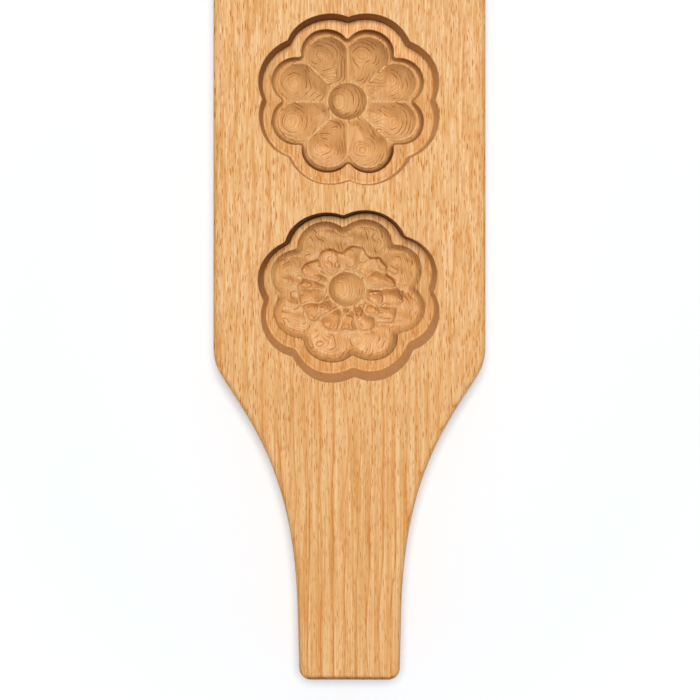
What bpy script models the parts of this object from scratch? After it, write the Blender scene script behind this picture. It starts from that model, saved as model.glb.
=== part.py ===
"""Wooden mooncake mold: one beech board with two flower cavities and a handle.

The board lies on its back with the carved face up. +Y runs along the board
towards the head, +X across it and +Z out of the carved face. The origin is
under the middle of the board, on its back. Lengths are in metres.
"""

import math

import bpy
import bmesh
import numpy as np
from mathutils import Vector
from mathutils.geometry import interpolate_bezier

# Board
LENGTH = 0.196
THICKNESS = 0.028
EDGE_ROUND = 0.0014

# Body: its length runs from the head to where side and flank would meet
BODY_WIDTH = 0.075
BODY_LENGTH = 0.1087
HEAD_CORNER_RADIUS = 0.0032
SHOULDER_RADIUS = 0.014

# Flank: the straight slope after the shoulder, its length along the board
FLANK_LENGTH = 0.0102
FLANK_ANGLE = math.radians(32.8)

# Neck: one curve, whose pulls at the flank and at the handle are shares of its length
FLANK_PULL_SHARE = 0.24
HANDLE_PULL_SHARE = 0.5

# Handle: it narrows a little towards its end
HANDLE_LENGTH = 0.0186
HANDLE_NECK_WIDTH = 0.0285
HANDLE_END_WIDTH = 0.0276
HANDLE_CORNER_RADIUS = 0.0032

# Both cavities: a scalloped wall, a flat ledge and a sunk flower. The margin and
# the gap are measured to the circles round the lobes' tips.
PETALS = 8
OVAL_SHARE = 1.058
HEAD_MARGIN = 0.0114
CAVITY_GAP = 0.0053
WALL_DRAFT = 0.00105
RIM_NOTCH_FILLET = 0.0006
CUT_OVERRUN = 0.002

# Daisy: the cavity by the head, with one ring of spoon-shaped petals
DAISY_RIM_RADIUS = 0.0246
DAISY_RIM_NOTCH = 0.0018
DAISY_LEDGE_DEPTH = 0.012
DAISY_LEDGE_WIDTH = 0.00215
DAISY_STEP_DEPTH = 0.002
DAISY_STEP_DRAFT = 0.00125
DAISY_NOTCH_FILLET = 0.0002
DAISY_PETAL_MARGIN = 0.0007
DAISY_RIDGE_WIDTH = 0.0012
DAISY_PETAL_DEPTH = 0.0022
DAISY_DISC_RADIUS = 0.0053
DAISY_DISC_DEPTH = 0.0019
DAISY_FLOWER_X = -0.0003

# Peony: the cavity by the neck, turned a little, with wide shallow petals round a whorl
PEONY_RIM_RADIUS = 0.0243
PEONY_RIM_NOTCH = 0.0021
PEONY_LEDGE_DEPTH = 0.0145
PEONY_LEDGE_WIDTH = 0.0023
PEONY_STEP_DEPTH = 0.0016
PEONY_STEP_DRAFT = 0.0013
PEONY_NOTCH_FILLET = 0.0005
PEONY_PETAL_MARGIN = 0.0003
PEONY_RIDGE_WIDTH = 0.0006
PEONY_PETAL_DEPTH = 0.0009
PEONY_DISC_RADIUS = 0.0049
PEONY_DISC_DEPTH = 0.0015
PEONY_FLOWER_X = -0.0003
PEONY_FLOWER_Y = 0.0004
PEONY_TURN = math.radians(3.1)

# Whorl: the peony's second ring of petals, sunk inside the first
WHORL_RADIUS = 0.0123
WHORL_DEPTH = 0.0018
WHORL_DRAFT = 0.0007
WHORL_NOTCH_FILLET = 0.0004
WHORL_MARGIN = 0.0003
WHORL_RIDGE_WIDTH = 0.0005
WHORL_PETAL_DEPTH = 0.0013

# Facets
EDGE_STEPS = 3
CORNER_STEPS = 6
NECK_STEPS = 24
LOBE_STEPS = 10
NOTCH_STEPS = 2
PETAL_RING_SHARES = (1.0, 0.88, 0.74, 0.58, 0.42, 0.26, 0.12)
WIDE_RING_SHARES = (1.0, 0.7, 0.35)
DISC_RING_SHARES = (1.0, 0.85, 0.65, 0.35)
EDGE_ANGLE = math.radians(60)
SMOOTH_ANGLE = math.radians(30)

# Places worked out from the sizes above
HEAD_Y = LENGTH / 2
HANDLE_Y = -LENGTH / 2
SHOULDER_Y = HEAD_Y - BODY_LENGTH
DAISY_Y = HEAD_Y - HEAD_MARGIN - DAISY_RIM_RADIUS
PEONY_Y = DAISY_Y - DAISY_RIM_RADIUS - CAVITY_GAP - PEONY_RIM_RADIUS
HALF_PETAL = math.pi / PETALS

BEECH_COLOUR = (0.768, 0.423, 0.171, 1.0)
BEECH_ROUGHNESS = 0.5


def clear_scene():
    """Remove every object that the file holds."""
    for old in list(bpy.data.objects):
        bpy.data.objects.remove(old, do_unlink=True)


def make_beech():
    """Beech, planed and lightly oiled."""
    beech = bpy.data.materials.new("beech")
    beech.use_nodes = True
    shader = beech.node_tree.nodes["Principled BSDF"]
    shader.inputs["Base Color"].default_value = BEECH_COLOUR
    shader.inputs["Roughness"].default_value = BEECH_ROUGHNESS
    shader.inputs["Metallic"].default_value = 0.0
    return beech


def rounded_corner(before, corner, after, radius):
    """The arc that rounds a corner between two straight sides."""
    back = (before - corner).normalized()
    ahead = (after - corner).normalized()
    middle = (back + ahead).normalized()
    half_angle = back.angle(ahead) / 2
    centre = corner + middle * (radius / math.sin(half_angle))
    reach = math.copysign(math.pi / 2 - half_angle, back.cross(ahead))
    middle_angle = math.atan2(-middle.y, -middle.x)
    arc = []
    for step in range(CORNER_STEPS + 1):
        angle = middle_angle + reach * (1 - 2 * step / CORNER_STEPS)
        arc.append(centre + Vector((math.cos(angle), math.sin(angle))) * radius)
    return arc


def neck_curve(flank_end, handle_start, handle_end):
    """The curve that leaves the flank in its slope and joins the handle in its taper."""
    length = flank_end.y - handle_start.y
    flank_slope = Vector((-math.tan(FLANK_ANGLE), -1))
    handle_slope = (handle_start - handle_end) / (handle_start.y - handle_end.y)
    flank_pull = flank_end + flank_slope * (length * FLANK_PULL_SHARE)
    handle_pull = handle_start + handle_slope * (length * HANDLE_PULL_SHARE)
    return interpolate_bezier(
        flank_end, flank_pull, handle_pull, handle_start, NECK_STEPS + 1)


def side_outline():
    """One side of the board's outline, from the head to the end of the handle."""
    head_middle = Vector((0, HEAD_Y))
    head_corner = Vector((BODY_WIDTH / 2, HEAD_Y))
    shoulder = Vector((BODY_WIDTH / 2, SHOULDER_Y))
    flank_inset = FLANK_LENGTH * math.tan(FLANK_ANGLE)
    flank_end = shoulder - Vector((flank_inset, FLANK_LENGTH))
    handle_start = Vector((HANDLE_NECK_WIDTH / 2, HANDLE_Y + HANDLE_LENGTH))
    handle_corner = Vector((HANDLE_END_WIDTH / 2, HANDLE_Y))
    handle_middle = Vector((0, HANDLE_Y))
    return [
        *rounded_corner(head_middle, head_corner, shoulder, HEAD_CORNER_RADIUS),
        *rounded_corner(head_corner, shoulder, flank_end, SHOULDER_RADIUS),
        *neck_curve(flank_end, handle_start, handle_corner),
        *rounded_corner(handle_start, handle_corner, handle_middle, HANDLE_CORNER_RADIUS),
    ]


def make_board(beech):
    """The plain board: its outline, both sides of it, grown to the full thickness."""
    side = side_outline()
    outline = [(point.x, point.y, 0) for point in side]
    outline += [(-point.x, point.y, 0) for point in reversed(side)]
    form = bmesh.new()
    back = form.faces.new([form.verts.new(point) for point in outline])
    grown = bmesh.ops.extrude_face_region(form, geom=[back])
    face_points = [item for item in grown["geom"] if isinstance(item, bmesh.types.BMVert)]
    bmesh.ops.translate(form, verts=face_points, vec=(0, 0, THICKNESS))
    bmesh.ops.recalc_face_normals(form, faces=form.faces)
    mesh = bpy.data.meshes.new("mold_board")
    form.to_mesh(mesh)
    form.free()
    mesh.materials.append(beech)
    mesh.shade_smooth()
    mesh.set_sharp_from_angle(angle=SMOOTH_ANGLE)
    board = bpy.data.objects.new("mold_board", mesh)
    bpy.context.collection.objects.link(board)
    return board


def lobe_arc(tip, notch_depth, fillet):
    """Centre distance and radius of the arcs that give a flower these tips and notches."""
    outer = tip + fillet
    inner = outer - notch_depth
    spread = outer - inner * math.cos(HALF_PETAL)
    distance = (outer ** 2 - inner ** 2) / (2 * spread)
    return distance, tip - distance


def petal_arc(tip, ridge_width):
    """Centre distance and radius of round petal tips with a ridge between neighbours."""
    distance = (tip + ridge_width / 2) / (1 + math.sin(HALF_PETAL))
    return distance, tip - distance


def scallop(distance, radius, fillet, inset):
    """One lobe of a scalloped outline and the small arc of the notch after it.

    Points are complex numbers, with the lobe's middle on the real axis. An
    inset outline keeps the arcs' centres: its lobes shrink, its notches grow.
    """
    half_gap = distance * math.sin(HALF_PETAL)
    notch_distance = distance * math.cos(HALF_PETAL)
    notch_distance += math.sqrt((radius + fillet) ** 2 - half_gap ** 2)
    notch_centre = notch_distance * np.exp(1j * HALF_PETAL)
    swing = np.angle(notch_centre - distance)
    lobe_angles = np.linspace(-swing, swing, LOBE_STEPS + 1)
    notch_angles = np.linspace(swing, 2 * HALF_PETAL - swing, NOTCH_STEPS + 1)[1:-1]
    lobe = distance + (radius - inset) * np.exp(1j * lobe_angles)
    notch = notch_centre - (fillet + inset) * np.exp(1j * notch_angles)
    return np.concatenate((lobe, notch))


def petal_rim(distance, radius):
    """One spoon-shaped petal's edge, and the ridge's middle after it, as in scallop."""
    half_width = math.asin(radius / distance)
    swing = math.pi / 2 + half_width
    ridge_angles = np.linspace(half_width, 2 * HALF_PETAL - half_width, NOTCH_STEPS + 1)[1:-1]
    tip_angles = np.linspace(-swing, swing, LOBE_STEPS + 1)
    tip = distance + radius * np.exp(1j * tip_angles)
    ridge = distance * math.cos(half_width) * np.exp(1j * ridge_angles)
    return np.concatenate((tip, ridge))


def petal_bowl(points, distance, radius, disc_radius, depth):
    """How deep a petal is at each point.

    Its tip is a round bowl. From where the sides become straight, the bowl
    runs out towards the disc, and it starts there with the same slope.
    """
    half_width = math.asin(radius / distance)
    straight = distance * math.cos(half_width) ** 2
    along = np.clip((points.real - disc_radius) / (straight - disc_radius), 0, 1)
    fall = 2 * (1 - disc_radius / straight)
    across = points.imag / (points.real * math.tan(half_width))
    trough = math.cos(half_width) ** 2 * along ** fall * (1 - across ** 2)
    bowl = 1 - np.abs(points - distance) ** 2 / radius ** 2
    shape = np.where(points.real > straight, bowl, trough)
    return depth * np.maximum(shape, 0)


def between(outer, inner, share):
    """An outline part of the way from the inner one to the outer one."""
    return inner + (outer - inner) * share


def wall_loops(rim_radius, rim_notch, ledge_depth):
    """The cavity's wall, from above the face down to the ledge."""
    distance, radius = lobe_arc(rim_radius, rim_notch, RIM_NOTCH_FILLET)
    flare = WALL_DRAFT * CUT_OVERRUN / ledge_depth
    above = scallop(distance, radius, RIM_NOTCH_FILLET, -flare)
    foot = scallop(distance, radius, RIM_NOTCH_FILLET, WALL_DRAFT)
    return [(above, -CUT_OVERRUN), (foot, ledge_depth)]


def disc_loops(rim, radius, level, depth):
    """The round dimple in the middle of a flower: flat inside and steep at its edge."""
    loops = []
    for share in DISC_RING_SHARES:
        circle = rim / np.abs(rim) * radius * share
        loops.append((circle, level + depth * (1 - share ** 3)))
    return loops


def daisy_loops():
    """The daisy's step, its petals and its disc."""
    flower_radius = DAISY_RIM_RADIUS - WALL_DRAFT - DAISY_LEDGE_WIDTH
    step_width = DAISY_STEP_DRAFT + DAISY_PETAL_MARGIN
    distance, radius = petal_arc(flower_radius - step_width, DAISY_RIDGE_WIDTH)
    edge = scallop(distance, radius + step_width, DAISY_NOTCH_FILLET, 0)
    foot = scallop(distance, radius + step_width, DAISY_NOTCH_FILLET, DAISY_STEP_DRAFT)
    rim = petal_rim(distance, radius)
    disc = rim / np.abs(rim) * DAISY_DISC_RADIUS
    level = DAISY_LEDGE_DEPTH + DAISY_STEP_DEPTH
    loops = [(edge, DAISY_LEDGE_DEPTH), (foot, level)]
    for share in PETAL_RING_SHARES:
        ring = between(rim, disc, share)
        bowl = petal_bowl(ring, distance, radius, DAISY_DISC_RADIUS, DAISY_PETAL_DEPTH)
        loops.append((ring, level + bowl))
    return loops + disc_loops(rim, DAISY_DISC_RADIUS, level, DAISY_DISC_DEPTH)


def whorl_loops(level):
    """The whorl's foot, its petals and the peony's disc."""
    step_width = WHORL_DRAFT + WHORL_MARGIN
    distance, radius = petal_arc(WHORL_RADIUS - step_width, WHORL_RIDGE_WIDTH)
    foot = scallop(distance, radius + step_width, WHORL_NOTCH_FILLET, WHORL_DRAFT)
    rim = petal_rim(distance, radius)
    disc = rim / np.abs(rim) * PEONY_DISC_RADIUS
    loops = [(foot, level)]
    for share in PETAL_RING_SHARES:
        ring = between(rim, disc, share)
        bowl = petal_bowl(ring, distance, radius, PEONY_DISC_RADIUS, WHORL_PETAL_DEPTH)
        loops.append((ring, level + bowl))
    return loops + disc_loops(rim, PEONY_DISC_RADIUS, level, PEONY_DISC_DEPTH)


def whorl_edge():
    """The whorl's upper edge, which is cut into the wide petals."""
    step_width = WHORL_DRAFT + WHORL_MARGIN
    distance, radius = petal_arc(WHORL_RADIUS - step_width, WHORL_RIDGE_WIDTH)
    return scallop(distance, radius + step_width, WHORL_NOTCH_FILLET, 0)


def peony_loops():
    """The peony's step, its wide petals and the whorl inside them."""
    flower_radius = PEONY_RIM_RADIUS - WALL_DRAFT - PEONY_LEDGE_WIDTH
    step_width = PEONY_STEP_DRAFT + PEONY_PETAL_MARGIN
    distance, radius = petal_arc(flower_radius - step_width, PEONY_RIDGE_WIDTH)
    edge = scallop(distance, radius + step_width, PEONY_NOTCH_FILLET, 0)
    foot = scallop(distance, radius + step_width, PEONY_NOTCH_FILLET, PEONY_STEP_DRAFT)
    rim = petal_rim(distance, radius)
    inner = whorl_edge()
    level = PEONY_LEDGE_DEPTH + PEONY_STEP_DEPTH
    loops = [(edge, PEONY_LEDGE_DEPTH), (foot, level)]
    for share in (*WIDE_RING_SHARES, 0):
        ring = between(rim, inner, share)
        bowl = petal_bowl(ring, distance, radius, PEONY_DISC_RADIUS, PEONY_PETAL_DEPTH)
        loops.append((ring, level + bowl))
    return loops + whorl_loops(level + WHORL_DEPTH)


def placed_ring(loop, place_x, place_y, turn):
    """A loop's points on the board: its lobe repeated round the flower, then stretched."""
    points, depth = loop
    turns = np.exp(1j * (turn + HALF_PETAL * (1 + 2 * np.arange(PETALS))))
    flower = np.outer(turns, points).ravel()
    height = THICKNESS - np.tile(np.broadcast_to(depth, points.shape), PETALS)
    return np.column_stack((flower.real * OVAL_SHARE + place_x, flower.imag + place_y, height))


def make_cutter(name, rings):
    """A closed solid through the rings, capped over the first and drawn to a point."""
    count = len(rings[0])
    lowest = rings[-1].mean(axis=0)
    points = np.vstack((*rings, lowest))
    tip = len(points) - 1
    faces = [tuple(range(count))]
    for start in range(0, tip, count):
        for step in range(count):
            here = start + step
            after = start + (step + 1) % count
            if start + count < tip:
                faces.append((here, here + count, after + count, after))
            else:
                faces.append((here, tip, after))
    mesh = bpy.data.meshes.new(name)
    mesh.from_pydata(points.tolist(), [], faces)
    mesh.shade_smooth()
    mesh.set_sharp_from_angle(angle=SMOOTH_ANGLE)
    cutter = bpy.data.objects.new(name, mesh)
    cutter.hide_render = True
    cutter.display_type = "WIRE"
    bpy.context.collection.objects.link(cutter)
    return cutter


def carve(board, cutter):
    """Cut one cavity out of the board."""
    cut = board.modifiers.new(cutter.name, "BOOLEAN")
    cut.operation = "DIFFERENCE"
    cut.solver = "EXACT"
    cut.object = cutter


def make_daisy_cutter():
    """The shape of the cavity by the head."""
    wall = wall_loops(DAISY_RIM_RADIUS, DAISY_RIM_NOTCH, DAISY_LEDGE_DEPTH)
    rings = [placed_ring(loop, 0, DAISY_Y, 0) for loop in wall]
    rings += [placed_ring(loop, DAISY_FLOWER_X, DAISY_Y, 0) for loop in daisy_loops()]
    return make_cutter("daisy_cutter", rings)


def make_peony_cutter():
    """The shape of the cavity by the neck."""
    wall = wall_loops(PEONY_RIM_RADIUS, PEONY_RIM_NOTCH, PEONY_LEDGE_DEPTH)
    rings = [placed_ring(loop, 0, PEONY_Y, PEONY_TURN) for loop in wall]
    flower_y = PEONY_Y + PEONY_FLOWER_Y
    rings += [placed_ring(loop, PEONY_FLOWER_X, flower_y, PEONY_TURN) for loop in peony_loops()]
    return make_cutter("peony_cutter", rings)


def round_edges(board):
    """Round the board's outer edges, on the face and on the back."""
    rounding = board.modifiers.new("rounded_edges", "BEVEL")
    rounding.width = EDGE_ROUND
    rounding.segments = EDGE_STEPS
    rounding.limit_method = "ANGLE"
    rounding.angle_limit = EDGE_ANGLE


clear_scene()
mold_board = make_board(make_beech())
round_edges(mold_board)
carve(mold_board, make_daisy_cutter())
carve(mold_board, make_peony_cutter())
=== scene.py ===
import math
from functools import partial
from types import SimpleNamespace

import bmesh
import bpy
import numpy as np
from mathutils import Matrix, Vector
from mathutils.geometry import delaunay_2d_cdt


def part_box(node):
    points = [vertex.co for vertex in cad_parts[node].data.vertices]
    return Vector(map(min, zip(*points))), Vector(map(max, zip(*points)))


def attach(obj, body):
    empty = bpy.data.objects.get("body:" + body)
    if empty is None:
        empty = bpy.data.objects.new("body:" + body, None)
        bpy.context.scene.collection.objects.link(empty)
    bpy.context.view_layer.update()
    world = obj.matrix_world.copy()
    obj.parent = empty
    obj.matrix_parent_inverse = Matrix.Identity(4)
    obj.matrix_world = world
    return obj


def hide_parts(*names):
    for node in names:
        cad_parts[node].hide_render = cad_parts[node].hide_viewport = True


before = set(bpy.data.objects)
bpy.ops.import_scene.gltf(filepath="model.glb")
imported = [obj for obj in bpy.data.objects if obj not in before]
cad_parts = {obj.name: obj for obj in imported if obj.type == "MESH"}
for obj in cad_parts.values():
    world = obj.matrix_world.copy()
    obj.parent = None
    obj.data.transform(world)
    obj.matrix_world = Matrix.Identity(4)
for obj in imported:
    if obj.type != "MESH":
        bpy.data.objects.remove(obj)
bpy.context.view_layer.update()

# Sizes are in millimetres and the points of a plan are complex numbers, x + iy, with the
# carved face seen from above. Depths are measured down from the face.
MM = 0.001

BOARD_LOW, BOARD_HIGH = (np.array(corner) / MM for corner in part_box("mold_board"))
HALF_WIDTH = BOARD_HIGH[0]
HEAD_Y = BOARD_HIGH[1]
HANDLE_Y = BOARD_LOW[1]
THICKNESS = BOARD_HIGH[2]

# The board's outline, as in the solid
BODY_LENGTH = 108.7
HEAD_CORNER_RADIUS = 3.2
SHOULDER_RADIUS = 14.0
FLANK_LENGTH = 10.2
FLANK_ANGLE = math.radians(32.8)
FLANK_PULL_SHARE = 0.24
HANDLE_PULL_SHARE = 0.5
HANDLE_LENGTH = 18.6
HANDLE_NECK_WIDTH = 28.5
HANDLE_END_WIDTH = 27.6
HANDLE_CORNER_RADIUS = 3.2

# Its rounded edges, which change a little along slow waves. The collars here and below
# are strips of the flat face that keep the shading of a rounded edge to itself.
EDGE_ROUND = 1.4
EDGE_ROUND_CHANGE_SHARE = 0.08
EDGE_WAVE = 40.0
EDGE_SEED = 5
EDGE_COLLAR = 0.8
SIDE_RING_SHARES = (0.25, 0.5, 0.75)

# Both cavities, whose outlines are stretched across the board by the oval share
PETALS = 8
HALF_PETAL = math.pi / PETALS
OVAL_SHARE = 1.058
HEAD_MARGIN = 11.4
CAVITY_GAP = 5.3
DAISY_HALF_LENGTH = 24.6
PEONY_HALF_LENGTH = 24.3
RIM_ROUND = 0.3
FOOT_ROUND = 0.4
RIM_COLLAR = 0.6

# Facets
STRAIGHT_STEP = 1.6
ARC_STEPS = 14
NECK_STEPS = 70
ROUND_STEPS = 6
RIM_STEPS = 4
LOBE_STEPS = 50
NOTCH_STEPS = 10


def linear(hex_colour):
    """An sRGB hex colour as a linear RGBA value, by the sRGB curve."""
    parts = [int(hex_colour[at:at + 2], 16) / 255 for at in (1, 3, 5)]
    bent = [c / 12.92 if c <= 0.04045 else ((c + 0.055) / 1.055) ** 2.4 for c in parts]
    return (*bent, 1.0)


def smooth_step(low, high, value):
    """0 below low, 1 above high and 3s^2 - 2s^3 at the share s of the way between them."""
    share = np.clip((value - low) / (high - low), 0, 1)
    return share * share * (3 - 2 * share)


def waves(points, size, seed, count=14):
    """An even random surface that swings between about -1 and 1: the sum of sine waves
    about one size long, each in its own direction and phase, over their number's root."""
    random = np.random.default_rng(seed)
    directions = np.exp(1j * random.uniform(0, 2 * np.pi, count))
    lengths = size * random.uniform(0.7, 1.5, count)
    phases = random.uniform(0, 2 * np.pi, count)
    total = np.zeros(np.shape(points))
    for direction, length, phase in zip(directions, lengths, phases):
        total += np.sin(2 * np.pi * (points * direction.conjugate()).real / length + phase)
    return total / math.sqrt(count)


def corner_arc(before, corner, after, radius):
    """The arc that rounds a corner between two straight sides.

    Its centre lies on the line that halves the corner, the radius over the sine of half
    the opening away. It starts where it touches the first side and ends on the second.
    """
    back = (before - corner) / abs(before - corner)
    ahead = (after - corner) / abs(after - corner)
    opening = np.angle(ahead / back)
    half = abs(opening) / 2
    start = corner + back * radius / math.tan(half)
    centre = corner + (back + ahead) / abs(back + ahead) * radius / math.sin(half)
    turn = -math.copysign(math.pi - 2 * half, opening)
    return centre + (start - centre) * np.exp(1j * np.linspace(0, turn, ARC_STEPS + 1))


def neck_curve(flank_end, handle_start, handle_slope):
    """A cubic curve that leaves the flank in its slope and joins the handle in its taper.

    Its two middle control points lie on those two lines, a share of the neck's length
    away from the curve's ends.
    """
    length = (flank_end - handle_start).imag
    flank_slope = -math.tan(FLANK_ANGLE) - 1j
    pull = flank_end + flank_slope * length * FLANK_PULL_SHARE
    push = handle_start + handle_slope * length * HANDLE_PULL_SHARE
    t = np.linspace(0, 1, NECK_STEPS + 1)
    return ((1 - t) ** 3 * flank_end + 3 * (1 - t) ** 2 * t * pull
            + 3 * (1 - t) * t ** 2 * push + t ** 3 * handle_start)


def filled_in(points):
    """A closed outline with points added at even steps along its long straight sides."""
    parts = []
    for start, end in zip(points, np.roll(points, -1)):
        steps = max(1, round(abs(end - start) / STRAIGHT_STEP))
        parts.append(start + (end - start) * np.arange(steps) / steps)
    return np.concatenate(parts)


def board_outline():
    """The closed outline of the board, clockwise from the middle of the head: the corners,
    arcs and neck curve of one side, and then their mirror image."""
    shoulder = HALF_WIDTH + 1j * (HEAD_Y - BODY_LENGTH)
    flank_end = shoulder - FLANK_LENGTH * (math.tan(FLANK_ANGLE) + 1j)
    handle_start = HANDLE_NECK_WIDTH / 2 + 1j * (HANDLE_Y + HANDLE_LENGTH)
    handle_end = HANDLE_END_WIDTH / 2 + 1j * HANDLE_Y
    handle_slope = (handle_start - handle_end) / (handle_start - handle_end).imag
    head_corner = HALF_WIDTH + 1j * HEAD_Y
    side = np.concatenate((
        corner_arc(1j * HEAD_Y, head_corner, shoulder, HEAD_CORNER_RADIUS),
        corner_arc(head_corner, shoulder, flank_end, SHOULDER_RADIUS),
        neck_curve(flank_end, handle_start, handle_slope),
        corner_arc(handle_start, handle_end, 1j * HANDLE_Y, HANDLE_CORNER_RADIUS),
    ))
    return filled_in(np.concatenate((side, -side[::-1].conjugate())))


def inward(outline):
    """The unit direction into a clockwise outline at each of its points: the line between
    the point's two neighbours, turned a quarter to the right."""
    along = np.roll(outline, -1) - np.roll(outline, 1)
    return -1j * along / np.abs(along)


def lobe_arc(tip, notch_depth, fillet):
    """Centre distance and radius of the arcs that give a flower these tips and notches.

    They follow from the law of cosines in the triangle between the flower's middle, a
    lobe's centre and the centre of the notch's arc, which lies half a petal to the side.
    """
    outer = tip + fillet
    inner = outer - notch_depth
    distance = (outer ** 2 - inner ** 2) / (2 * (outer - inner * math.cos(HALF_PETAL)))
    return distance, tip - distance


def scallop(distance, radius, fillet, inset):
    """A scalloped outline, turned so that its first lobe is half a petal past +X.

    Each lobe is an arc about its own centre and each notch a small arc between
    two lobes. An inset keeps the centres: lobes shrink and notches grow by it.
    """
    half_gap = distance * math.sin(HALF_PETAL)
    notch_distance = distance * math.cos(HALF_PETAL)
    notch_distance += math.sqrt((radius + fillet) ** 2 - half_gap ** 2)
    notch_centre = notch_distance * np.exp(1j * HALF_PETAL)
    swing = np.angle(notch_centre - distance)
    lobe_angles = np.linspace(-swing, swing, LOBE_STEPS + 1)
    notch_angles = np.linspace(swing, 2 * HALF_PETAL - swing, NOTCH_STEPS + 1)[1:-1]
    lobe = distance + (radius - inset) * np.exp(1j * lobe_angles)
    notch = notch_centre - (fillet + inset) * np.exp(1j * notch_angles)
    turns = np.exp(1j * HALF_PETAL * (1 + 2 * np.arange(PETALS)))
    return np.outer(turns, np.concatenate((lobe, notch))).ravel()


# The two flowers. Each outline (the step's edge, its foot, and the crest of the petals'
# rims) is the centre distance and the radius of its lobes, and its notches' fillet. A
# profile's rows (step and lip) go from one outline to the next: the share of the way, the
# share of the step's depth, and the stain with painted shade. The shifts and skews are how
# far the carver's cuts wandered from the solid's even outlines: a skew draws an outline out
# along a diagonal.
# The stain with painted shade is 0 on clean wood and 1 on the darkest wall, partly a patina
# of dough and oil and partly painted shade, and -0.3 on a ridge with a painted highlight. A
# wall's value is its even part plus its wall_shade times the cosine of the direction from
# its dark_side, which paints shade darkest on that side. side_stain darkens the ledge's left
# and right; painted shade lies round the low end of the step and on the slope round the
# disc, more of it towards disc_shade. notch_light makes the notches paler, and whorl_light
# paints light on the whorl's ground towards the head.
daisy = SimpleNamespace(
    y=HEAD_Y - HEAD_MARGIN - DAISY_HALF_LENGTH, turn=0.0, lean=0.0, seed=11,
    rim_radius=24.45, rim_notch=1.9, rim_fillet=0.8, wall_draft=0.56,
    wall_stain=0.25, wall_shade=1.0, dark_side=math.radians(112),
    ledge_depth=12.0, petal_depths=(2.3, 2.8), ridge=0.25, ridge_softness=0.04, groove=10.5,
    wave_depth=0.12, wave_size=5.0, disc_fade=2.2,
    notch_light=0.85, petal_stain=0.0, side_stain=0.0, whorl_light=0.0,
    rim_shift=-0.09 - 0.07j, rim_skew=-0.001 - 0.0045j,
    ledge_shift=-0.27 + 0.53j, ledge_skew=-0.0085 - 0.004j,
    flower_shift=-0.5 + 0.58j, flower_skew=0.0024 - 0.004j, disc_shift=-0.04 + 0.16j,
    edge=(14.77, 6.63, 0.6), foot=(14.2, 5.9, 1.9), crest=(13.9, 5.55, 0.25),
    step_depth=2.0, disc_radius=5.25, disc_depth=1.9,
    low_stain=0.45, disc_stain=0.3, disc_shade=-0.25 - 0.37j,
    step=((0.0, 0.0, 0.0), (0.05, 0.03, 0.6), (0.14, 0.16, 0.97), (0.35, 0.48, 0.92),
          (0.55, 0.72, 0.6), (0.78, 0.98, 0.35), (1.0, 1.12, 0.25)),
    lip=((0.3, 1.12, 0.2), (0.6, 1.06, 0.1), (0.85, 1.01, -0.1), (1.0, 1.0, -0.25)))
peony = SimpleNamespace(
    y=daisy.y - DAISY_HALF_LENGTH - CAVITY_GAP - PEONY_HALF_LENGTH,
    turn=math.radians(2.9), lean=-0.02, seed=23,
    rim_radius=24.35, rim_notch=2.1, rim_fillet=1.4, wall_draft=0.9,
    wall_stain=0.0, wall_shade=1.85, dark_side=math.radians(98),
    ledge_depth=14.5, petal_depth=0.8, ridge=0.4, ridge_softness=0.12,
    wave_depth=0.3, wave_size=4.5, disc_fade=1.6,
    notch_light=0.5, petal_stain=-0.1, side_stain=0.08, whorl_light=0.2,
    rim_shift=-0.13 - 0.17j, rim_skew=-0.001 + 0.006j,
    ledge_shift=-0.08 + 0.98j, ledge_skew=0.005 + 0.0145j,
    flower_shift=-0.31 + 1.43j, flower_skew=0.0067 + 0.0038j, disc_shift=-0.29 + 0.62j,
    edge=(13.83, 7.35, 1.2), foot=(13.83, 5.75, 1.6), crest=(13.83, 5.2, 1.6),
    step_depth=1.6, disc_radius=4.95, disc_depth=1.8,
    low_stain=0.0, disc_stain=0.15, disc_shade=-0.43 - 0.19j,
    step=((0.0, 0.0, 0.0), (0.06, 0.04, 0.7), (0.16, 0.16, 0.6), (0.3, 0.32, 0.35),
          (0.5, 0.6, 0.3), (0.75, 0.85, 0.25), (1.0, 0.98, 0.2)),
    lip=((0.35, 1.0, 0.15), (0.7, 1.0, 0.1), (1.0, 1.0, 0.05)))

# The lightest stain of a wall, which below zero is painted light; the stain and painted
# shade of the board's rounded edges; and what is added to that on its two ends, partly where
# the open grain soaks up more oil and partly as painted shade on their rounding
LIGHTEST = -0.12
EDGE_STAIN_AND_SHADE = 0.12
END_GRAIN_STAIN_AND_SHADE = 0.75
# The edges' stain and painted shade grows from nothing over this share of a rounded edge, and is less
# on the sides
EDGE_SHADE_START_SHARE = 1 / 3
SIDE_SHADE_SHARE = 0.6

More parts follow.
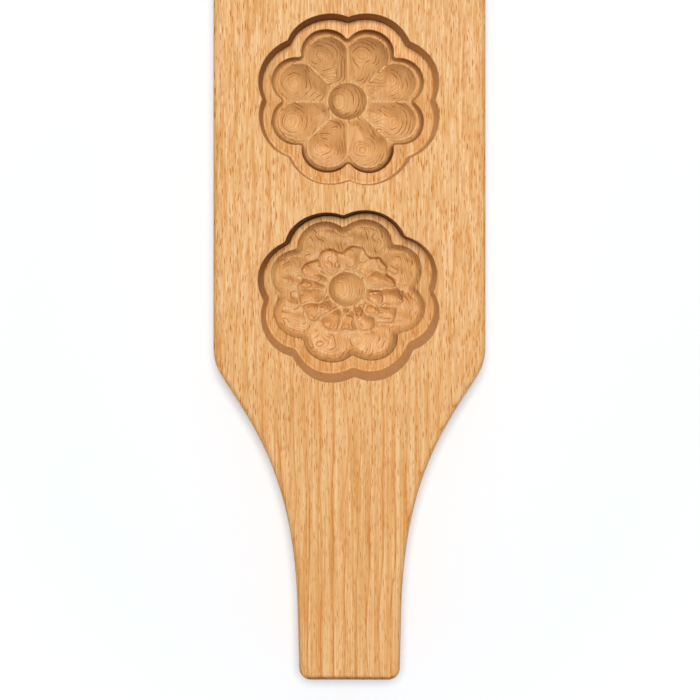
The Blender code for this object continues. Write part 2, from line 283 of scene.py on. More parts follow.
# The peony's second whorl was cut freehand. Each scoop is its distance from the middle
# and its direction, its own turn, half its length, half its width and its depth. Here
# and below, directions and turns are in degrees.
WHORL = (
    (9.2, 113, -8, 4.0, 2.7, 1.3), (8.9, 81, 7, 4.0, 2.9, 1.3), (9.3, 45, 7, 3.9, 2.3, 1.1),
    (12.2, 32, 30, 2.6, 2.0, 1.0), (12.0, 9, -5, 2.7, 1.8, 1.4), (8.0, 18, 3, 3.2, 2.2, 0.9),
    (12.1, -14, -12, 2.9, 2.3, 0.9), (7.9, -20, -4, 3.4, 2.1, 1.2), (12.4, -37, 10, 3.0, 2.5, 0.8),
    (8.5, -42, 4, 3.4, 1.8, 1.3), (9.7, -67, 5, 4.0, 2.0, 1.3), (9.8, -91, -4, 3.9, 2.0, 1.2),
    (9.9, -118, 4, 3.8, 2.4, 1.4), (11.6, -149, 20, 3.2, 2.6, 1.2), (7.9, -143, -4, 3.2, 1.7, 1.1),
    (10.0, 187, 4, 4.0, 2.2, 1.4), (9.7, 169, -4, 3.8, 1.3, 1.0), (8.4, 155, 5, 2.8, 1.3, 0.9),
    (11.0, 143, -9, 3.7, 2.5, 1.2), (6.3, -155, 10, 1.9, 0.7, 0.5), (6.3, -130, -10, 1.9, 0.7, 0.5),
    (6.4, -95, 8, 1.8, 0.7, 0.5), (6.5, -47, 12, 1.9, 0.7, 0.5),
)
# The scoops are cut a little wider and deeper than listed, and the ground between them
# stands up. The whorl lies a step below the wide petals, and its lines wander.
SCOOP_WIDTH_SHARE = 1.12
SCOOP_DEPTH_SHARE = 1.2
BETWEEN_SCOOPS = -0.35
WHORL_STEP = 0.9
WHORL_WANDER = 0.25
WHORL_WAVE = 5.0
WHORL_SEEDS = (41, 42)

# Knife cuts in the peony, each from one point to another, from its disc's middle
CREASES = (
    (-2.4 + 9.9j, -1.6 + 6.4j), (-7.1 + 6.9j, -3.7 + 4.4j), (-6.5 + 5.3j, -4.2 + 3.9j),
    (-11.6 + 6.4j, -10.9 + 4.2j), (-10.6 - 4.6j, -10.5 - 6.4j), (-10.5 - 6.4j, -9.4 - 7.6j),
    (-3.2 - 5.0j, -6.1 - 6.5j), (0.2 - 5.7j, -1.9 - 7.9j), (1.6 - 5.5j, 2.4 - 8.3j),
    (4.7 - 4.1j, 3.1 - 7.8j), (6.0 - 1.2j, 8.2 - 1.0j), (5.6 - 3.0j, 7.6 - 4.9j),
    (10.6 + 2.0j, 13.0 + 0.9j), (14.8 - 1.4j, 14.5 - 4.2j), (8.2 + 8.3j, 8.8 + 6.9j),
)
CREASE_HALF_WIDTH = 0.45
CREASE_DEPTH = 0.5

# The whorl's edge: directions, counted from the right, and how far out it runs there
WHORL_EDGE = (
    (-177, 12.9), (-164, 12.9), (-151, 13.3), (-138, 13.1), (-131, 11.0), (-121, 12.7),
    (-110, 12.7), (-97, 10.4), (-89, 11.6), (-80, 11.7), (-69, 13.1), (-51, 12.1), (-42, 15.6),
    (-30, 14.6), (-18, 15.0), (-6, 14.6), (0, 13.3), (3, 13.1), (9, 13.3), (19, 11.2), (24, 12.5),
    (37, 12.6), (44, 12.4), (51, 10.9), (66, 12.3), (76, 12.6), (95, 10.3), (110, 12.5),
    (120, 12.5), (127, 11.4), (134, 12.1), (143, 13.2), (158, 13.3), (163, 11.6), (172, 13.4),
)
WHORL_EDGE_SOFTNESS = 0.35
# The edge is the mean of itself at these turns, which rounds its corners
WHORL_EDGE_TURNS = (-4, -2, 0, 2, 4)

# How softly a petal's sector changes into its round tip, and over what stretch of the
# petal its hollow changes from a V to a bowl, before and after the groove's end
TIP_SOFTNESS = 2.0
BEFORE_GROOVE_END = 2.0
AFTER_GROOVE_END = 2.5
# The waves of the daisy's carving reach their full depth at this share of a petal's hollow
WAVES_START_SHARE = 0.4
# How soft a disc's rim is, how far inside it the petals' carving starts, and the share of
# the disc's radius from which on its dimple's formula stays level
DISC_SOFTNESS = 0.03
DISC_OVERLAP = 0.1
DISC_LIMIT_SHARE = 1.3


def folded(points):
    """Each point turned back by whole petals to the petal on the +X axis, and that petal's
    number."""
    number = np.floor(np.angle(points) / (2 * HALF_PETAL))
    return points * np.exp(-1j * HALF_PETAL * (1 + 2 * number)), number.astype(int) % PETALS


def soft_floor(value, softness):
    """The larger of a value and zero, with a rounded change between the two: half the sum
    of the value and the root of its square plus the softness's square."""
    return (value + np.sqrt(value ** 2 + softness ** 2)) / 2


def softer_of(first, second, softness):
    """The larger of two values, with a rounded change between them."""
    return second + soft_floor(first - second, softness)


def disc_hollow(points, radius):
    """The dimple in a flower's middle as a share of its depth: 1 - the cube of the distance
    over the radius, which is flat inside and steep at its edge."""
    return 1 - np.minimum(np.abs(points) / radius, DISC_LIMIT_SHARE) ** 3


def petal_hollow(points, distance, radius, ridge, groove=0.0):
    """A petal's hollow as a share of its depth, below zero outside the petal.

    Across the petal it is the parabola (w^2 - y^2) / radius^2. Its half width w is the
    petal's sector, less half a ridge, or the round tip's chord, whichever is smaller.
    Nearer the middle than the groove's end it is the V (w - |y|) / radius instead.
    """
    sector = points.real * math.tan(HALF_PETAL) - ridge / 2
    chord = radius ** 2 - (points.real - distance) ** 2
    chord = np.where(points.real > distance, chord, radius ** 2)
    half_width_squared = -softer_of(-sector * np.abs(sector), -chord, TIP_SOFTNESS)
    bowl = (half_width_squared - points.imag ** 2) / radius ** 2
    straight = (np.sqrt(np.maximum(half_width_squared, 0)) - np.abs(points.imag)) / radius
    grooved = smooth_step(groove + AFTER_GROOVE_END, groove - BEFORE_GROOVE_END, points.real)
    return bowl + (straight - bowl) * grooved


def round_the_disc(points, flower):
    """How much of the petals' carving shows, 0 in the disc and 1 outside it, and the
    depth of the disc's dimple: its depth times disc_hollow, with a soft edge."""
    from_disc = points - flower.disc_shift
    fading = smooth_step(flower.disc_radius - DISC_OVERLAP, flower.disc_radius + flower.disc_fade,
                         np.abs(from_disc))
    hollow = soft_floor(disc_hollow(from_disc, flower.disc_radius), DISC_SOFTNESS)
    return fading, flower.disc_depth * hollow


def daisy_floor(points):
    """How far the daisy's floor lies below its petals' rims.

    Each petal's hollow has a depth of its own and slight waves, which fade out towards
    the disc, and the disc has its dimple.
    """
    distance, radius, _ = daisy.crest
    local, number = folded(points)
    random = np.random.default_rng(daisy.seed)
    depths = random.uniform(*daisy.petal_depths, PETALS)[number]
    hollow = petal_hollow(local, distance, radius, daisy.ridge, daisy.groove)
    petals = depths * soft_floor(hollow, daisy.ridge_softness)
    carving = daisy.wave_depth * waves(points, daisy.wave_size, daisy.seed)
    carving = carving * smooth_step(0, WAVES_START_SHARE, hollow)
    fading, disc = round_the_disc(points, daisy)
    return (petals + carving) * fading + disc


def whorl_edge(points):
    """How far out the whorl reaches in each point's direction: straight from one of its
    listed reaches to the next, as the mean over a few small turns."""
    directions, reaches = zip(*WHORL_EDGE)
    angles = np.degrees(np.angle(points))
    edge = sum(np.interp(angles + turn, directions, reaches, period=360) for turn in WHORL_EDGE_TURNS)
    return edge / len(WHORL_EDGE_TURNS)


def scooped(points):
    """How deep the whorl's scoops are: the deepest of all their bowls. A bowl is its depth
    times 1 - (along / half its length)^2 - (across / half its width)^2."""
    scoops = np.full(np.shape(points), BETWEEN_SCOOPS)
    for reach, direction, turn, half_length, half_width, depth in WHORL:
        out = np.exp(1j * math.radians(direction))
        own = (points - reach * out) / (out * np.exp(1j * math.radians(turn)))
        across = own.imag / (SCOOP_WIDTH_SHARE * half_width)
        bowl = 1 - (own.real / half_length) ** 2 - across ** 2
        scoops = np.maximum(scoops, SCOOP_DEPTH_SHARE * depth * bowl)
    return scoops


def creased(points):
    """How deep the knife's cuts are: a V by the distance to the nearest of them."""
    nearest = np.full(np.shape(points), np.inf)
    for start, end in CREASES:
        way = np.clip(((points - start) / (end - start)).real, 0, 1)
        nearest = np.minimum(nearest, np.abs(points - start - way * (end - start)))
    return CREASE_DEPTH * np.maximum(1 - nearest / CREASE_HALF_WIDTH, 0)


def peony_floor(points):
    """How far the peony's floor lies below its wide petals' rims.

    It is the wide petals' shallow hollows with their waves, lower by a step and scooped
    inside the whorl's edge, and cut by the knife. All of this fades out towards the disc,
    which has its dimple.
    """
    distance, radius, _ = peony.crest
    local, _ = folded(points)
    hollow = petal_hollow(local, distance, radius, peony.ridge)
    floor = peony.petal_depth * soft_floor(hollow, peony.ridge_softness)
    floor = floor + peony.wave_depth * waves(points, peony.wave_size, peony.seed)
    from_disc = points - peony.disc_shift
    across, along = (waves(points, WHORL_WAVE, seed) for seed in WHORL_SEEDS)
    whorl = from_disc + WHORL_WANDER * (across + 1j * along)
    inside = whorl_edge(whorl) - np.abs(whorl)
    inside = smooth_step(-WHORL_EDGE_SOFTNESS, WHORL_EDGE_SOFTNESS, inside)
    floor = floor + inside * (WHORL_STEP + scooped(whorl)) + creased(from_disc)
    fading, disc = round_the_disc(points, peony)
    return peony.petal_depth + (floor - peony.petal_depth) * fading + disc


# Painted shade and highlights on a carved floor: the distance between the points that its
# curvature is taken from, the painted shade per curvature and its limits, and the painted
# shade per millimetre towards the head
BEND_STEP = 0.25
BEND_SHADE = 0.1
VALLEY_LIMIT = 0.36
RIDGE_LIMIT = 0.4
HEAD_SHADE = 0.007
# The slope round the disc and the whorl's ground outside it, as shares of the disc's radius
SLOPE_START_SHARES = (0.45, 0.82)
SLOPE_END_SHARES = (1.04, 0.95)
WHORL_START_SHARES = (1.0, 1.2)
WHORL_END_SHARES = (2.6, 2.1)


def floor_stain_and_shade(points, flower, floor):
    """The stain and painted shade on carved ground: painted shade in its valleys and painted
    highlights on its ridges.

    It falls with the floor's curvature, which is the sum of four points close around
    each point less four times its own depth. As painted shade, it grows a little towards the
    head. The slope round the disc gets painted shade, most of all on one side, and the whorl's
    ground beyond it gets painted light towards the head.
    """
    around = sum(floor(points + BEND_STEP * side) for side in (1, 1j, -1, -1j))
    bend = (around - 4 * floor(points)) / BEND_STEP ** 2
    from_disc = points - flower.disc_shift
    out = np.abs(from_disc) / flower.disc_radius
    side = np.exp(1j * np.angle(from_disc))
    slope = smooth_step(*SLOPE_START_SHARES, out) * smooth_step(*SLOPE_END_SHARES, out)
    shade = flower.disc_stain + (side * np.conjugate(flower.disc_shade)).real
    whorl = smooth_step(*WHORL_START_SHARES, out) * smooth_step(*WHORL_END_SHARES, out)
    pale = flower.whorl_light * whorl * np.maximum(side.imag, 0)
    stain = flower.petal_stain + HEAD_SHADE * points.imag + shade * slope - pale
    return stain - np.clip(BEND_SHADE * bend, -VALLEY_LIMIT, RIDGE_LIMIT)


# How far a carver's hand wanders from its line, and over what length
HAND_WANDER = 0.1
HAND_WAVE = 14.0


def wandered(points, seed, shift, skew):
    """An outline as the carver's hand cut it: shifted as a whole, drawn out along a
    diagonal by a skew times each point's mirror image, and warped by slow waves."""
    across, along = (waves(points, HAND_WAVE, seed + number) for number in (0, 1))
    return points + HAND_WANDER * (across + 1j * along) + shift + skew * np.conjugate(points)


def rounded_edge(radius, steepness, steps):
    """Inset and depth along an arc that turns a flat into a slope, convex side up.

    They are the radius times the sine, less the length of the arc's tangent, and the
    radius times 1 - the cosine, of an angle that grows from 0 to the steepness.
    """
    angles = np.linspace(0, steepness, steps + 1)
    reach = radius * math.tan(steepness / 2)
    return list(zip(radius * np.sin(angles) - reach, radius * (1 - np.cos(angles))))


# The shares of a wall's stain and painted shade on the rings down its rounded rim and its
# rounded foot, and where the straight part between them has its own rings
RIM_SHADE_SHARES = (0, 0.12, 0.6, 0.95, 1)
WALL_RING_SHARES = (0.12, 0.35, 0.6, 0.85)
FOOT_SHADE_SHARES = (1, 0.9, 0.7, 0.4, 0.15)
RIM_SEED = 3


def wall_rings(flower):
    """The rings of a cavity's wall, from the flat round its rim down to the ledge: plan
    points, depth, and stain with painted shade.

    The wall runs straight from its rounded rim to its rounded foot, by its draft over the
    ledge's depth, and moves from the rim's place to the ledge's on the way down.
    """
    distance, radius = lobe_arc(flower.rim_radius, flower.rim_notch, flower.rim_fillet)
    steepness = math.atan2(flower.ledge_depth, flower.wall_draft)
    top = rounded_edge(RIM_ROUND, steepness, RIM_STEPS)
    bottom = [(flower.wall_draft - inset, flower.ledge_depth - rise)
              for inset, rise in rounded_edge(FOOT_ROUND, steepness, RIM_STEPS)][::-1]
    straight = [tuple(a + (b - a) * share for a, b in zip(top[-1], bottom[0]))
                for share in WALL_RING_SHARES]
    profile = ((-RIM_COLLAR, 0.0), *top, *straight, *bottom)
    stains = (0, *RIM_SHADE_SHARES, *[1] * len(straight), *FOOT_SHADE_SHARES)
    rings = []
    for (inset, depth), stain in zip(profile, stains):
        ring = scallop(distance, radius, flower.rim_fillet, inset)
        down = smooth_step(0, flower.ledge_depth, depth)
        shift = flower.rim_shift + (flower.ledge_shift - flower.rim_shift) * down
        skew = flower.rim_skew + (flower.ledge_skew - flower.rim_skew) * down
        # A wall's even part is partly patina and partly painted shade, and its directional part is
        # painted shade, darkest towards the dark side; below zero it is painted light.
        side = flower.wall_stain + flower.wall_shade * np.cos(np.angle(ring) - flower.dark_side)
        stain = stain * np.maximum(side, LIGHTEST)
        rings.append((wandered(ring, RIM_SEED, shift, skew), depth, stain))
    return rings


# The ledge's rings: the share of the way from the wall to the step, and the painted shade,
# darker by the wall's foot; a painted light makes the ledge lighter towards the head
LEDGE_ROWS = ((0.15, 0.12), (0.4, 0.02), (0.7, 0.0), (0.93, 0.0))
LEDGE_HEAD_LIGHT = 0.3


def ledge_rings(flower, wall_foot, edge):
    """The rings over the flat ledge, by shares of the way from the wall's foot to the
    step's edge, with a stain and painted shade and light by the direction from the flower's middle."""
    rings = []
    for share, stain in LEDGE_ROWS:
        ring = wall_foot + (edge - wall_foot) * share
        out = ring / np.abs(ring)
        stain = stain - LEDGE_HEAD_LIGHT * np.maximum(out.imag, 0) + flower.side_stain * out.real ** 2
        rings.append((ring, flower.ledge_depth, stain))
    return rings


# How a step's stain and painted shade change round the flower: its even part, and the
# painted shade added at both ends, towards the head and towards the right
STEP_SHADES = (0.2, 0.83, -0.37, -0.14)
# The low painted shade grows over these shares of the step. The notches get less painted
# shade from these shares of half a petal on, and less so on the step than on the lip.
LOW_SHADE_SHARES = (0.1, 0.6)
NOTCH_SHARES = (0.78, 0.97)
STEP_NOTCH_SHARE = 0.4


def step_rings(flower, edge, foot, crest):
    """The rings down the step and over its lip to the petals' rims: between its three
    outlines, by the rows of the flower's two profiles."""
    even, ends, head, right = STEP_SHADES
    off_middle = np.abs(np.angle(folded(crest - flower.flower_shift)[0])) / HALF_PETAL
    notch = flower.notch_light * smooth_step(*NOTCH_SHARES, off_middle)
    rings = []
    for rows, start, end, light in ((flower.step, edge, foot, STEP_NOTCH_SHARE * notch),
                                    (flower.lip, foot, crest, notch)):
        for share, depth_share, stain in rows:
            depth = flower.ledge_depth + depth_share * flower.step_depth
            ring = start + (end - start) * share
            out = ring / np.abs(ring)
            # The step's groove is darkened as painted shade, most at its ends and its low end, and
            # the daisy's lip crest gets a painted highlight
            side = even + ends * np.abs(out.imag) + head * out.imag + right * out.real
            low_share = 1 - share if rows is flower.lip else smooth_step(*LOW_SHADE_SHARES, share)
            low = flower.low_stain * np.maximum(-out.imag, 0) ** 2 * low_share
            rings.append((ring, depth, (stain * side + low) * (1 - light)))
    return rings


# The rings over the petals, by the share of the way from their rims to the disc, and the
# rings in the disc, by the share of its radius. The first ones take the floor from the
# rims' level to its own. Rings have all their points up to the full rings' number, half
# of them up to the halved rings' number, and then a quarter.
PETAL_RING_SHARES = (0.008, 0.018, 0.03, 0.045, 0.065, *np.linspace(0.09, 0.96, 40),
                     0.975, 0.985, 0.993, 1.0)
DISC_RING_SHARES = (0.985, 0.965, 0.93, *np.linspace(0.88, 0.04, 18))
JOINING_RINGS = 8
FULL_RINGS = 26
HALVED_RINGS = 60


def floor_rings(flower, floor, crest):
    """The rings from the petals' rims over the carved floor and through the disc to its
    middle, which is a single point. Their points lie on straight lines from the crest's
    to the disc's and on its radii, at the step's depth plus the floor's."""
    level = flower.ledge_depth + flower.step_depth
    centre = flower.flower_shift + flower.disc_shift
    disc = centre + flower.disc_radius * np.exp(1j * np.angle(crest - centre))
    lines = [crest + (disc - crest) * share for share in PETAL_RING_SHARES]
    lines += [centre + (disc - centre) * share for share in DISC_RING_SHARES]
    rim_depth = float(np.mean(floor(crest - flower.flower_shift)))
    rings = []
    for number, line in enumerate(lines):
        ring = line[::1 if number < FULL_RINGS else 2 if number < HALVED_RINGS else 4]
        local = ring - flower.flower_shift
        drop = floor(local) - rim_depth * smooth_step(JOINING_RINGS, 0, number)
        rings.append((ring, level + drop, floor_stain_and_shade(local, flower, floor)))
    middle = np.array([centre])
    rings.append((middle, level + floor(middle - flower.flower_shift), flower.petal_stain))
    return rings


def cavity_rings(flower, floor):
    """All rings of one cavity from the face to the middle: plan points, depth, and stain with painted
    shade.
    """
    edge, foot, crest = (
        wandered(scallop(*sizes, 0), flower.seed, flower.flower_shift, flower.flower_skew)
        for sizes in (flower.edge, flower.foot, flower.crest))
    wall = wall_rings(flower)
    wall_foot = wall[-1][0]
    return [*wall, *ledge_rings(flower, wall_foot, edge), *step_rings(flower, edge, foot, crest),
            *floor_rings(flower, floor, crest)]


def placed(flower, ring, depth):
    """A ring's points on the board: turned, stretched and leaned across it, and moved to
    the flower's place along it."""
    turned = ring * np.exp(1j * flower.turn)
    height = np.broadcast_to(THICKNESS - depth, ring.shape)
    across = turned.real * OVAL_SHARE + turned.imag * flower.lean
    return np.column_stack((across, turned.imag + flower.y, height))


def ring_faces(first, first_count, second, second_count):
    """Faces between two rings of points, given by their first numbers and their counts.

    Two rings of as many points make quads. A ring of half as many makes three triangles
    at each of its points, and a single point makes a fan.
    """
    here = np.arange(second_count)
    after = (here + 1) % second_count
    if second_count == first_count:
        return np.column_stack((first + here, second + here, second + after, first + after)).tolist()
    if second_count == 1:
        here = np.arange(first_count)
        after = (here + 1) % first_count
        return np.column_stack((first + here, 0 * here + second, first + after)).tolist()
    low, middle, high = first + 2 * here, first + 2 * here + 1, first + (2 * here + 2) % first_count
    corners = ((low, second + here, middle), (middle, second + here, second + after),
               (middle, second + after, high))
    return np.vstack([np.column_stack(three) for three in corners]).tolist()


def add_rings(points, faces, rings, start):
    """Append rings and the faces between them, and return the last ring's first number
    and the number that comes after its last."""
    last = None
    for ring in rings:
        if last is not None:
            faces += ring_faces(last, len(points[-1]), start, len(ring))
        points.append(ring)
        last = start
        start += len(ring)
    return last, start


def shell_rings(outline):
    """The board's outside, from the face's flat round its edge to the back's flat, with
    each ring's share of the edge's stain and painted shade.

    A rounded edge is inset by its radius times 1 - the sine, and lowered by the radius
    times 1 - the cosine, of an angle that grows to a quarter turn. The back's is alike.
    """
    direction = inward(outline)
    radius = EDGE_ROUND * (1 + EDGE_ROUND_CHANGE_SHARE * waves(outline, EDGE_WAVE, EDGE_SEED))
    collar = outline + direction * (radius + EDGE_COLLAR)
    rounded = []
    for share in np.linspace(0, 1, ROUND_STEPS + 1):
        angle = share * math.pi / 2
        plan = outline + direction * radius * (1 - math.sin(angle))
        rounded.append((plan, radius * (1 - math.cos(angle)), min(share / EDGE_SHADE_START_SHARE, 1)))
    rings = [(collar, np.full(len(outline), THICKNESS), 0)]
    rings += [(plan, THICKNESS - drop, stain_share) for plan, drop, stain_share in rounded]
    rings += [(outline, radius + (THICKNESS - 2 * radius) * (1 - share), SIDE_SHADE_SHARE)
              for share in SIDE_RING_SHARES]
    rings += rounded[::-1]
    rings.append((collar, np.zeros(len(outline)), 0))
    return [(np.column_stack((plan.real, plan.imag, height)), stain_share)
            for plan, height, stain_share in rings]


def winds_round(loop, points):
    """Whether a closed loop goes round each of the points: whether the angles between its
    points, seen from there, add up to a full turn and not to nothing."""
    spokes = loop[None, :] - points[:, None]
    return np.abs(np.angle(np.roll(spokes, -1, axis=1) / spokes).sum(axis=1)) > math.pi


# Blender's number for a triangulation that fills its outer loop, and how near two of its
# points may lie
FILL_INSIDE = 1
NEAREST = 1e-6


def flat_triangles(points, loops):
    """Triangles over the flat between an outer loop of points and the loops inside it: a
    Delaunay triangulation of them all, without the triangles inside an inner loop."""
    used = np.concatenate(loops)
    plan = points[used, 0] + 1j * points[used, 1]
    ends = np.cumsum([0] + [len(loop) for loop in loops])
    edges = []
    for first, last in zip(ends[:-1], ends[1:]):
        here = np.arange(first, last)
        edges += np.column_stack((here, np.roll(here, -1))).tolist()
    corners = [Vector((point.real, point.imag)) for point in plan]
    filled = delaunay_2d_cdt(corners, edges, [], FILL_INSIDE, NEAREST)
    triangles, source = np.array(filled[2]), np.array([same[0] for same in filled[3]])
    triangles = source[triangles]
    middles = plan[triangles].mean(axis=1)
    kept = np.ones(len(triangles), bool)
    for first, last in zip(ends[1:-1], ends[2:]):
        kept &= ~winds_round(plan[first:last], middles)
    return [tuple(triangle) for triangle in used[triangles[kept]].tolist()]


# The depths below a ledge over which the cut goes from planed wood to the ledge's, and
# from the ledge's to the floor's
LEDGE_CUT = (-0.4, -0.1)
FLOOR_CUT = (0.3, 1.5)
# The power that keeps the end grain's stain and painted shade to the parts that face the head or the
# handle
END_SHARPNESS = 6


def make_board():
    """The whole board as one closed mesh, with its stain and painted shade and its cut as attributes.

    The outside's rings and both cavities' rings meet in the face's flat, which triangles
    fill, and the back is one face. The cut is 0 on planed wood, a half on a ledge and 1
    on a gouged floor.
    """
    points, faces, stains, cuts = [], [], [], []
    outline = board_outline()
    shell = shell_rings(outline)
    back_start, start = add_rings(points, faces, [ring for ring, _ in shell], 0)
    edge_stain = EDGE_STAIN_AND_SHADE + END_GRAIN_STAIN_AND_SHADE * np.abs(inward(outline).imag) ** END_SHARPNESS
    stains += [edge_stain * stain_share for _, stain_share in shell]
    cuts += [np.zeros(len(ring)) for ring, _ in shell]
    loops = [np.arange(len(outline))]
    for flower, floor in ((daisy, daisy_floor), (peony, peony_floor)):
        made = cavity_rings(flower, floor)
        rings = [placed(flower, ring, depth) for ring, depth, _ in made]
        loops.append(start + np.arange(len(rings[0])))
        _, start = add_rings(points, faces, rings, start)
        stains += [np.broadcast_to(stain, ring.shape) for ring, _, stain in made]
        for ring, depth, _ in made:
            below_ledge = depth - flower.ledge_depth
            cut = (smooth_step(*LEDGE_CUT, below_ledge) + smooth_step(*FLOOR_CUT, below_ledge)) / 2
            cuts.append(np.broadcast_to(cut, ring.shape))
    points = np.vstack(points)
    faces += flat_triangles(points, loops)
    faces.append(tuple(back_start + np.arange(len(outline))))
    mesh = bpy.data.meshes.new("carved_board")
    mesh.from_pydata((points * MM).tolist(), [], faces)
    form = bmesh.new()
    form.from_mesh(mesh)
    bmesh.ops.recalc_face_normals(form, faces=form.faces)
    form.to_mesh(mesh)
    form.free()
    for name, values in (("stain", stains), ("cut", cuts)):
        mesh.attributes.new(name, "FLOAT", "POINT").data.foreach_set("value", np.concatenate(values))
    mesh.shade_smooth()
    board = bpy.data.objects.new("carved_board", mesh)
    bpy.context.collection.objects.link(board)
    return board


def add_node(tree, kind, *values, inputs=None, output=0, **settings):
    """Add a node with its settings and return one of its outputs. Its inputs take a value
    or a link each, the first ones in order and any others by their names or numbers."""
    made = tree.nodes.new("ShaderNode" + kind)
    for name, value in settings.items():
        setattr(made, name, value)
    for key, value in [*enumerate(values), *(inputs or {}).items()]:
        if isinstance(value, bpy.types.NodeSocket):
            tree.links.new(value, made.inputs[key])
        else:
            made.inputs[key].default_value = value
    return made.outputs[output]


# A MapRange with this setting rises smoothly. A Mix with this one mixes two colours, which
# are its inputs 6 and 7, and gives the result at its output 2.
SMOOTH = {"interpolation_type": "SMOOTHSTEP"}
COLOURS = {"data_type": "RGBA", "output": 2}

# The middle of the trunk, far to the left of the board and below it
PITH_X = -233.0
PITH_Z = -870.0
# A year's ring, and the thinner layers that show where a gouge cut across them
RING_PITCH = 0.88
LAYER_PITCH = 0.45
FINE_PITCH = 0.25
BOLD_PITCH = 0.7
# How far a layer runs before it changes its tone, along the board and across it
LAYER_LENGTH = 30.0
LAYER_WIDTH = 16.0
# The flat-sawn face tips its layers this way, as a unit direction
ACROSS_LAYERS = (0.26, 0.0, 0.966)
# The uneven patterns: their sizes across, along and through the board, and their detail.
# The wide and the small one bend the layers, and the broken one interrupts their lines.
PATTERNS = {
    "wide": ((28.6, 71.4, 28.6), 2.0),
    "small": ((4.55, 7.14, 4.55), 3.0),
    "streaks": ((1.67, 25.0, 3.33), 2.0),
    "hairs": ((0.5, 9.1, 1.43), 1.0),
    "long_hairs": ((0.5, 28.6, 1.43), 1.0),
    "threads": ((1.11, 14.3, 3.33), 2.0),
    "broken": ((2.86, 3.33, 2.86), 1.0),
}
# Rays and pores: the width and length of the ground that each has to itself, how far from
# its middle its dash starts and is full, as shares of that ground, and its strength. Pores
# are finer than the picture can show, so they are drawn about 0.2 mm wide.
DASHES = (((0.7, 6.0), 0.22, 0.14, 1.0), ((0.52, 3.6), 0.23, 0.13, 0.8))
# From the flowers to the handle the grain gets longer, the rings get clearer and, a little
# further on, the rays get weaker
GRAIN_CHANGE = (10.0, -45.0)
RAYS_FADE = (-15.0, -55.0)
# How far a surface faces up or down where it goes over from a side into a face
FACE_SLOPES = (0.2, 0.8)
# Slopes in the carving that face this way stay pale; slopes turned away from it get painted shade
PALE_SIDE = (0.2, 0.38, 0.35)


def wood_at(node):
    """What the beech's patterns are worked out from at each point of the surface."""
    at = SimpleNamespace()
    place = node("VectorMath", node("TexCoord", output="Object"), (1 / MM,) * 3, operation="MULTIPLY")
    at.x, at.y, at.z = node("SeparateXYZ", place).node.outputs
    at.on_handle = node("MapRange", at.y, *GRAIN_CHANGE, **SMOOTH)
    for name, (size, detail) in PATTERNS.items():
        pattern = node("TexNoise", node("VectorMath", place, size, operation="DIVIDE"),
                       inputs={"Scale": 1.0, "Detail": detail, "Roughness": 0.6})
        setattr(at, name, pattern)

    # Which way the surface faces. What grows along the board shows in full on the faces
    # and by half on the sides. The slant is how far the surface leans off the layers, as
    # a sine.
    at.normal = node("TexCoord", output="Normal")
    _, lengthways, at.upward = node("SeparateXYZ", at.normal).node.outputs
    at.flat = node("Math", at.upward, operation="ABSOLUTE")
    at.end = node("MapRange", node("Math", lengthways, operation="ABSOLUTE"), 0.7, 0.95, **SMOOTH)
    at.shown = node("MapRange", at.flat, *FACE_SLOPES, 0.5, 1.0, **SMOOTH)
    across = node("VectorMath", at.normal, ACROSS_LAYERS, operation="CROSS_PRODUCT")
    at.slant = node("VectorMath", across, operation="LENGTH", output="Value")

    # How it was cut, and its stain and painted shade: oil on ledges and floors, gouged on floors
    # alone
    cut = node("Attribute", attribute_name="cut", output="Fac")
    at.oil = node("MapRange", cut, 0.0, 0.5, **SMOOTH)
    at.gouged = node("MapRange", cut, 0.55, 1.0, **SMOOTH)
    at.stain = node("Attribute", attribute_name="stain", output="Fac")

    # Where it lies in the trunk: the distance from the pith, and with the layers' waves
    from_pith = node("CombineXYZ", node("Math", at.x, PITH_X, operation="SUBTRACT"), 0.0,
                     node("Math", at.z, PITH_Z, operation="SUBTRACT"))
    growth = node("VectorMath", from_pith, operation="LENGTH", output="Value")
    at.growth = node("Math", at.wide, 1.8, growth, operation="MULTIPLY_ADD")
    at.layer = node("Math", at.small, 0.45, at.growth, operation="MULTIPLY_ADD")
    return at


def year_rings(node, at):
    """How dark a year's ring is: a power of the year's share, and a thin line at its end.
    It shows on the handle and on the ends, and only faintly elsewhere."""
    year = node("Math", at.small, 0.12, at.growth, operation="MULTIPLY_ADD")
    year = node("Math", node("Math", year, RING_PITCH, operation="DIVIDE"), operation="FRACT")
    late_wood = node("Math", node("Math", year, 2.5, operation="POWER"), 0.6, operation="MULTIPLY")
    year_end = node("MapRange", year, 0.82, 0.97, 0.0, 0.5, **SMOOTH)
    ring = node("Math", late_wood, year_end, operation="ADD")
    clear = node("Math", at.on_handle, 0.75, 0.25, operation="MULTIPLY_ADD")
    clear = node("Math", clear, at.shown, operation="MULTIPLY")
    return node("Math", ring, node("Math", clear, at.end, operation="MAXIMUM"), operation="MULTIPLY")


def fine_grain(node, at):
    """The thin layers, by their distance from the pith, and the hairs along the grain.
    Both go from about -0.5 to 0.5."""
    spread = node("CombineXYZ", node("Math", at.layer, LAYER_PITCH, operation="DIVIDE"),
                  node("Math", at.y, LAYER_LENGTH, operation="DIVIDE"),
                  node("Math", at.x, LAYER_WIDTH, operation="DIVIDE"))
    layers = node("TexNoise", spread, inputs={"Scale": 1.0, "Detail": 2.0, "Roughness": 0.6})
    longer = node("Math", at.long_hairs, at.hairs, operation="SUBTRACT")
    hairs = node("Math", longer, at.on_handle, at.hairs, operation="MULTIPLY_ADD")
    hairs = node("Math", node("Math", hairs, 0.5, operation="SUBTRACT"), at.shown,
                 operation="MULTIPLY")
    return node("Math", layers, 0.5, operation="SUBTRACT"), hairs


